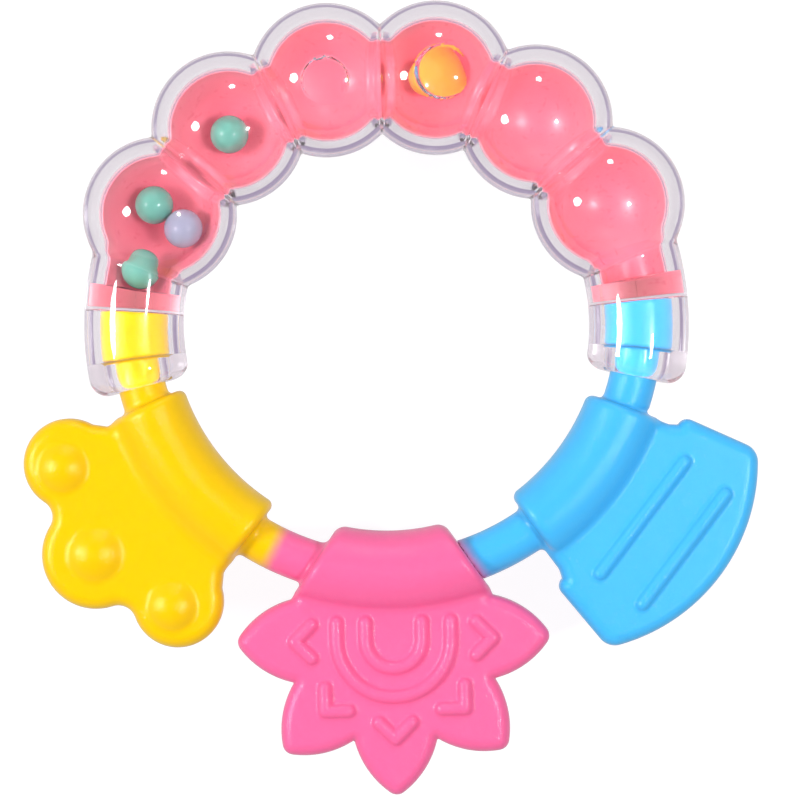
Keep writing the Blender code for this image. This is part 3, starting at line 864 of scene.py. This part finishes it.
def plastic(name, colour, darker, roughness, foot=None):
    """Moulded plastic, with faint clouds in its colour. foot is a colour of painted shade, laid on in
    full where the feet's stored shade mask is 1.
    """
    material, tree, shader = new_material(name, colour, roughness, Coat_Weight=0.3)
    clouds = noise(tree, 300, 3.0)
    shade = mix_colours(tree, clouds.outputs["Fac"], colour, darker)
    if foot:
        # painted shade on the liner's feet, darkest deep in the bulkheads
        shade = mix_colours(tree, from_attribute(tree, "foot_shade_mask"), shade, foot)
    tree.links.new(shade, shader.inputs["Base Color"])
    vary(tree, shader, noise(tree, 900), roughness * 0.7, roughness * 1.3)
    return material


SILICONE = {
    "yellow": (1.0, 0.61, 0.0),
    "pink": (1.0, 0.155, 0.38),
    "blue": (0.07, 0.53, 1.0),
}
BLEND_WIDTH = {"past_left": 1.4, "past_right": 1.6}  # of each colour seam, in millimetres
SEAM_WANDER = 0.5  # how far a seam strays, in millimetres


def seam_shade(tree, shade, seam, side, other):
    """Blends into the neighbour's colour at a seam. side is 1 or -1, so that both pieces agree."""
    wander = tree.nodes.new("ShaderNodeMath")
    wander.operation = "MULTIPLY_ADD"
    tree.links.new(noise(tree, 500).outputs["Fac"], wander.inputs[0])
    wander.inputs[1].default_value = side * SEAM_WANDER
    tree.links.new(from_attribute(tree, seam), wander.inputs[2])
    middle = side * SEAM_WANDER / 2
    ramp = add_node(
        tree, "ShaderNodeMapRange",
        From_Min=middle - BLEND_WIDTH[seam], From_Max=middle + BLEND_WIDTH[seam],
    )
    ramp.interpolation_type = "SMOOTHSTEP"
    tree.links.new(wander.outputs[0], ramp.inputs["Value"])
    return mix_colours(tree, ramp.outputs["Result"], shade, SILICONE[other])


def silicone(colour, seam_list):
    """Satin silicone rubber. seam_list holds (seam attribute, side, colour past the seam)."""
    own = SILICONE[colour]
    material, tree, shader = new_material(
        f"{colour}_silicone_look", own, 0.38, Subsurface_Weight=0.2, Subsurface_Scale=0.002,
        Subsurface_Radius=(1.0, 0.5, 0.5), IOR=1.42, Coat_Weight=0.6, Specular_Tint=(*own, 1),
    )
    dust = noise(tree, 700, 4.0)
    darker = tuple(channel * 0.93 for channel in own)
    shade = mix_colours(tree, dust.outputs["Fac"], own, darker)
    for seam, side, other in seam_list:
        shade = seam_shade(tree, shade, seam, side, other)
    tree.links.new(shade, shader.inputs["Base Color"])
    vary(tree, shader, noise(tree, 400, 3.0), 0.30, 0.46)
    vary(tree, shader, noise(tree, 600, 3.0), 0.10, 0.24, "Coat Roughness")
    add_bump(tree, shader, noise(tree, 1800, 3.0), 0.4, 0.00006)
    add_bump(tree, shader, noise(tree, 3200, 3.0), 0.9, 0.00010, "Coat Normal")
    return material


FOOT_PAINTED_SHADE = (0.40, 0.11, 0.11)  # painted shade on the liner's feet, deep in the bulkheads
FOOT_FADE = 1.2  # degrees of the ring over which the liner's colour turns into the feet's painted shade


def points_of(obj):
    """An object's points in millimetres from the ring's centre."""
    co = np.empty(len(obj.data.vertices) * 3)
    obj.data.vertices.foreach_get("co", co)
    return (co.reshape(-1, 3) - np.array(RING_CENTRE)) / MM


def store(obj, name, values):
    attribute = obj.data.attributes.new(name, "FLOAT", "POINT")
    attribute.data.foreach_set("value", values.astype(np.float32))


def mark_seam(obj, seam_name, point, normal):
    """Stores each point's distance past a colour seam, in millimetres."""
    store(obj, seam_name, (points_of(obj) - point) @ np.array(normal))


def mark_foot_shade(obj):
    """Stores where the liner's feet get painted shade: how deep in the bulkheads they are, from 0 at
    the top to 1, and less towards their sides."""
    x, y, _ = points_of(obj).T
    angle = np.degrees(np.arctan2(y, np.abs(x)))
    depth = np.clip((BULKHEAD_TOP + FOOT_FADE / 2 - angle) / FOOT_FADE, 0, 1)
    across = np.clip(1.35 - np.abs(np.hypot(x, y) - RING_R) / 4.5, 0.35, 1)
    store(obj, "foot_shade_mask", depth * across)


def finish_piece(obj, material, slot_name, *nodes):
    """Gives a piece its material, and hides the CAD nodes that it replaces."""
    obj.data.materials.append(material)
    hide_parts(*nodes)


def other_way(seam):
    point, normal = seam
    return point, tuple(-n for n in normal)


def build_bow():
    left, right = seams()
    paw = silicone_piece("yellow_paw", paw_field, PAW_BOX, [other_way(left)])
    flower = silicone_piece("pink_flower", flower_field, FLOWER_BOX, [left])
    fan = silicone_piece("blue_fan", fan_field, FAN_BOX, [])
    mark_seam(paw, "past_left", *other_way(left))
    mark_seam(flower, "past_left", *left)
    mark_seam(flower, "past_right", *other_way(right))
    mark_seam(fan, "past_right", *right)
    finish_piece(paw, silicone("yellow", [("past_left", 1, "pink")]), "yellow_silicone",
                 "yellow_paw_teether", "yellow_plug")
    finish_piece(flower, silicone("pink", [("past_left", -1, "yellow")]), "pink_silicone",
                 "pink_flower_teether")
    finish_piece(fan, silicone("blue", [("past_right", 1, "pink")]), "blue_silicone",
                 "blue_fan_teether", "blue_plug")
    for obj, side in ((paw, -1), (fan, 1)):
        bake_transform(obj)
    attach(flower, "bow")


SALMON, DARKER_SALMON = (0.90, 0.20, 0.27), (0.87, 0.18, 0.24)


def build_arch():
    clear = clear_plastic()
    for name, side, node in (("clear_front_half", 1, "clear_shell_front"),
                             ("clear_back_half", -1, "clear_shell_back")):
        half = shell_half(name, side)
        finish_piece(half, clear, "clear_plastic", node)
        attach(half, "arch")
    shell = liner()
    mark_foot_shade(shell)
    # The liner's feet get a painted shade, darkest deep in the bulkheads
    salmon = plastic("pink_liner_look", SALMON, DARKER_SALMON, 0.3, FOOT_PAINTED_SHADE)
    finish_piece(shell, salmon, "pink_liner", "pink_liner")
    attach(shell, "arch")


BEADS = {
    "mint": ((0.13, 0.40, 0.31), (0.12, 0.37, 0.28)),
    "lilac": ((0.30, 0.33, 0.42), (0.28, 0.30, 0.39)),
    "amber": ((0.86, 0.46, 0.06), (0.80, 0.41, 0.05)),
}


def build_balls():
    looks = {name: plastic(f"{name}_bead_look", *pair, 0.15) for name, pair in BEADS.items()}
    for body, nodes in frame["record"]["behaviour"]["bodies"].items():
        if not body.startswith("ball_"):
            continue
        node = nodes[0]
        colour = node.split("_")[0]
        obj = bead(node + "_bead", node)
        finish_piece(obj, looks[colour], f"{colour}_bead", node)
        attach(obj, body)


# Stage

MOST_BOUNCES = 32  # light crosses many walls of clear plastic
FLOOR_HALF = 1.5
FLOOR_DROP = 0.0095  # below the arch, which leaves room for the bow's swing
FLOOR_SEEN = 0.92  # how bright the camera sees it
FLOOR_GLOW = 0.59  # in the clear plastic and in reflections
FLOOR_LIGHT = 0.18  # what it adds to the matt surfaces' light
# What stands round the toy, by the sine of the angle above the horizon: as seen through the clear
# plastic, as mirrored, and as a light on matt surfaces (a wide softbox overhead and dim walls)
SKY = (
    (0.0, (0.84, 0.71, 0.83)),
    (0.30, (0.96, 0.92, 0.95)),
    (0.65, (0.60, 0.54, 0.62)),
    (0.92, (0.34, 0.27, 0.42)),
)
MIRRORED = (
    (0.0, (0.50, 0.46, 0.52)),
    (0.30, (0.60, 0.58, 0.60)),
    (0.55, (0.25, 0.24, 0.26)),
    (0.80, (0.05, 0.05, 0.06)),
)
SOFT_LIGHT = (
    (0.0, (0.15, 0.14, 0.16)),
    (0.40, (0.31, 0.30, 0.31)),
    (0.80, (0.60, 0.60, 0.60)),
)


def add_floor():
    bm = bmesh.new()
    bmesh.ops.create_grid(bm, x_segments=1, y_segments=1, size=FLOOR_HALF)
    mesh = bpy.data.meshes.new("floor")
    bm.to_mesh(mesh)
    bm.free()
    floor = add_object("floor", mesh)
    floor.location.z = CAD_BOX[0][2] - FLOOR_DROP
    material, tree, shader = new_material("pale_floor", (0.16, 0.16, 0.16), 0.8)
    path = tree.nodes.new("ShaderNodeLightPath")
    glow = mix_numbers(tree, path.outputs["Is Camera Ray"], FLOOR_GLOW, FLOOR_SEEN)
    glow = mix_numbers(tree, path.outputs["Diffuse Depth"], glow, FLOOR_LIGHT)
    shader.inputs["Emission Color"].default_value = (1, 0.98, 1, 1)
    tree.links.new(glow, shader.inputs["Emission Strength"])
    material.cycles.emission_sampling = "NONE"
    mesh.materials.append(material)


LAMP_DISTANCE = 0.8
# Name, heading and tilt away from straight above (degrees), size (metres), power (watts)
LAMPS = (
    ("left_softbox", 176, 48, 0.17, 3.6),
    ("top_softbox", 84, 62, 0.10, 0.8),
    ("right_softbox", 355, 30, 0.06, 2.6),
)


def add_lamp(name, heading, tilt, size, power):
    """A round softbox that points at the ring's middle."""
    lamp = bpy.data.lights.new(name, "AREA")
    lamp.shape = "DISK"
    lamp.size = size
    lamp.energy = power
    obj = add_object(name, lamp)
    # Its light already passes the clear plastic as shadow rays
    obj.visible_transmission = False
    c, s = cos_sin(heading)
    up, out = cos_sin(tilt)
    towards = Vector((out * c, out * s, up))
    obj.location = RING_CENTRE + LAMP_DISTANCE * towards
    obj.rotation_euler = (-towards).to_track_quat("-Z", "Y").to_euler()


def sky_colour(tree, height, bands):
    """The colour of one of the skies above, at a height from 0 to 1."""
    ramp = tree.nodes.new("ShaderNodeValToRGB")
    tree.links.new(height, ramp.inputs["Fac"])
    while len(ramp.color_ramp.elements) < len(bands):
        ramp.color_ramp.elements.new(0.5)
    for element, (position, colour) in zip(ramp.color_ramp.elements, bands):
        element.position = position
        element.color = (*colour, 1)
    return ramp.outputs["Color"]


def add_light():
    world = bpy.data.worlds.new("studio")
    world.use_nodes = True
    tree = world.node_tree
    heading = tree.nodes.new("ShaderNodeTexCoord")
    split = tree.nodes.new("ShaderNodeSeparateXYZ")
    tree.links.new(heading.outputs["Generated"], split.inputs[0])
    path = tree.nodes.new("ShaderNodeLightPath")
    mirrored = tree.nodes.new("ShaderNodeMath")  # 1 for a reflection that no plastic is in front of
    mirrored.operation = "SUBTRACT"
    mirrored.use_clamp = True
    tree.links.new(path.outputs["Is Glossy Ray"], mirrored.inputs[0])
    tree.links.new(path.outputs["Transmission Depth"], mirrored.inputs[1])
    height = split.outputs["Z"]
    light = sky_colour(tree, height, SKY)
    light = mix_colours(tree, mirrored.outputs[0], light, sky_colour(tree, height, MIRRORED))
    soft = sky_colour(tree, height, SOFT_LIGHT)
    light = mix_colours(tree, path.outputs["Diffuse Depth"], light, soft)
    tree.links.new(light, tree.nodes["Background"].inputs["Color"])
    world.cycles.sampling_method = "NONE"
    bpy.context.scene.world = world
    for lamp in LAMPS:
        add_lamp(*lamp)


CAMERA_DISTANCE = 0.48  # metres above the ring's plane
FRAME_WIDTH = 0.1268  # what the picture spans at the ring's plane
PICTURE_TURN = 1.303  # degrees that the ring is turned anticlockwise in the picture
PICTURE_CENTRE = (1.86, -11.86, 0)  # millimetres from the ring's centre


def add_camera():
    camera = bpy.data.cameras.new("camera")
    camera.lens = camera.sensor_width * CAMERA_DISTANCE / FRAME_WIDTH
    camera.clip_start = 0.01
    obj = add_object("camera", camera)
    obj.location = Vector(place(PICTURE_CENTRE)) + Vector((0, 0, CAMERA_DISTANCE))
    obj.rotation_euler = (0, 0, -math.radians(PICTURE_TURN))
    bpy.context.scene.camera = obj


add_camera()
add_light()
add_floor()
build_arch()
build_balls()
build_bow()

cycles = bpy.context.scene.cycles
cycles.max_bounces = cycles.glossy_bounces = cycles.transmission_bounces = MOST_BOUNCES
bpy.context.scene.view_settings.view_transform = "Standard"
